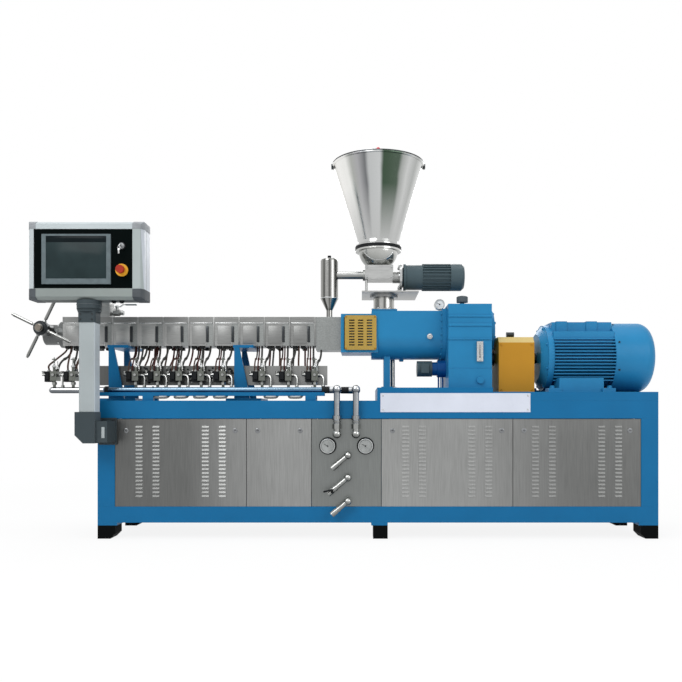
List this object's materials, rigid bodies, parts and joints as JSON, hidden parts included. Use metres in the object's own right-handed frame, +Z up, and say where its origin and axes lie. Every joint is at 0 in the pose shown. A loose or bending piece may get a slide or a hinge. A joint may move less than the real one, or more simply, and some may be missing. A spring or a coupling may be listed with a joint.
{
  "type": "twin-screw compounding extruder",
  "caption": "Twin-screw plastic compounding extruder: panelled blue base, heated barrel with cooling valves, gearboxes, motor, hopper feeder and a swivelling control panel.",
  "frame": {"origin": "on the floor under the middle of the whole machine's box", "axes": "+X along the machine from the die to the motor, +Y from the operator's side to the back, +Z up"},
  "size_m": [3.564, 0.778, 2.197],
  "materials": {
    "frame_paint": "satin blue enamel",
    "drive_paint": "satin light-blue machine enamel",
    "guard_paint": "satin amber enamel",
    "panel_steel": "fine vertical brush",
    "barrel_steel": "dull sheet steel",
    "polished_steel": "polished stainless",
    "pipe_steel": "bright pipe",
    "dark_steel": "dark machined steel",
    "foot_rubber": "matt",
    "black_plastic": "matt",
    "arm_grey": "fine-textured dark grey powder coat",
    "column_grey": "satin light grey",
    "valve_brass": "dull brass",
    "lead_sheath": "braided sheath",
    "hose_sheath": "braided hose",
    "board_white": "gloss white board",
    "feeder_paint": "satin green-grey enamel",
    "band_rubber": "matt"
  },
  "bodies": {
    "machine": {"base_rails": "frame_paint", "base_cross_rails": "frame_paint", "base_posts": "frame_paint", "deck_plate": "frame_paint", "drive_plinth": "frame_paint", "levelling_feet": "foot_rubber", "front_panels": "panel_steel", "water_panel": "panel_steel", "rear_and_end_panels": "panel_steel", "name_board": "board_white", "barrel_segments": "barrel_steel", "barrel_heaters": "barrel_steel", "barrel_top_covers": "barrel_steel", "barrel_supports": "frame_paint", "die_head": "dark_steel", "vent_port": "pipe_steel", "valve_plate": "panel_steel", "valve_bodies": "valve_brass", "valve_coils": "black_plastic", "cooling_manifolds": "pipe_steel", "pipe_brackets": "frame_paint", "riser_pipes": "pipe_steel", "water_fittings": "pipe_steel", "cooling_tubes": "hose_sheath", "heater_leads": "lead_sheath", "lantern": "drive_paint", "lantern_guard": "guard_paint", "transfer_gearbox": "drive_paint", "gearbox_leg": "drive_paint", "main_gearbox": "drive_paint", "drive_fittings": "dark_steel", "oil_pump": "feeder_paint", "shaft_coupling": "dark_steel", "coupling_guard": "guard_paint", "motor_body": "drive_paint", "motor_fan_cowl": "drive_paint", "hopper": "polished_steel", "hopper_lid": "polished_steel", "hopper_band": "band_rubber", "feeder_body": "polished_steel", "drop_tube": "polished_steel", "feeder_stand": "pipe_steel", "feeder_motor": "feeder_paint", "arm_bracket": "arm_grey", "arm_elbow": "arm_grey", "arm_column": "column_grey", "panel_coupling": "arm_grey"},
    "star_wheel": {"star_wheel": "pipe_steel"},
    "control_panel": {"swivel_flange": "arm_grey", "control_box": "column_grey", "box_front": "black_plastic", "operator_panel": "black_plastic"},
    "vent_handle": {"vent_lever": "pipe_steel"}
  },
  "joints": [
    {"name": "star_wheel_spin", "type": "hinge", "parent": "machine", "child": "star_wheel", "pos_m": [-1.6162, -0.046, 1.142], "axis": [0, 1, 0], "continuous": true},
    {"name": "panel_swivel", "type": "hinge", "parent": "machine", "child": "control_panel", "pos_m": [-1.2598, -0.291, 1.21], "axis": [0, 0, 1], "range_deg": [-90, 90]},
    {"name": "vent_lever_turn", "type": "hinge", "parent": "machine", "child": "vent_handle", "pos_m": [-1.2472, 0.104, 1.279], "axis": [0, 0, 1], "range_deg": [0, 90]}
  ]
}
